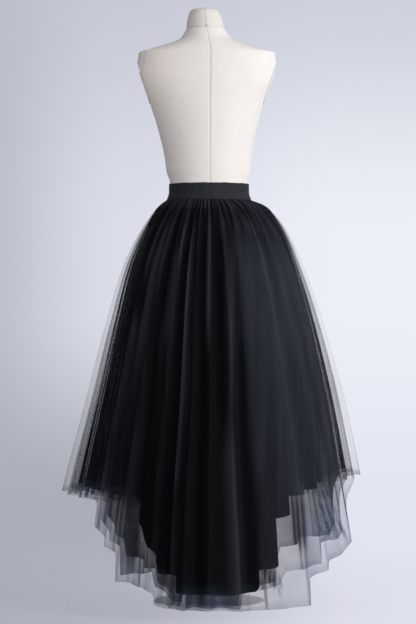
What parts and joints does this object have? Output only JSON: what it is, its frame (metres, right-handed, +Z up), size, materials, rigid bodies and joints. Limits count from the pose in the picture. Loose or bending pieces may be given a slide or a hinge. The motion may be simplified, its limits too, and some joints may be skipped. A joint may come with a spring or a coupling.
{
  "type": "tulle skirt on a dress form",
  "caption": "Long gathered tulle skirt with a dipped back hem, lining and elastic waistband, on a limbless dress form with a round stand.",
  "frame": {"origin": "centre of the stand base's underside, on the floor under the pole", "axes": "+Z up along the pole, +Y towards the front of the skirt and form, -Y towards the long back, +X to the right when the back is seen"},
  "size_m": [0.7738, 0.6976, 1.548],
  "materials": {
    "tulle_black": "sheer black net, matte",
    "lining_black": "opaque black lining with a soft sheen",
    "elastic_black": "woven black elastic, matte",
    "canvas_cream": "cream canvas cover, matte",
    "enamel_grey": "grey enamel, satin"
  },
  "bodies": {
    "root": {"waistband": "elastic_black", "tulle_outer_back": "tulle_black", "tulle_outer_front": "tulle_black", "tulle_middle_back": "tulle_black", "tulle_middle_front": "tulle_black", "tulle_inner_back": "tulle_black", "tulle_inner_front": "tulle_black", "lining_back": "lining_black", "lining_front": "lining_black", "form_torso": "canvas_cream", "form_neck": "canvas_cream", "arm_plate_left": "canvas_cream", "arm_plate_right": "canvas_cream", "stand_pole": "enamel_grey", "stand_base": "enamel_grey"}
  },
  "joints": []
}
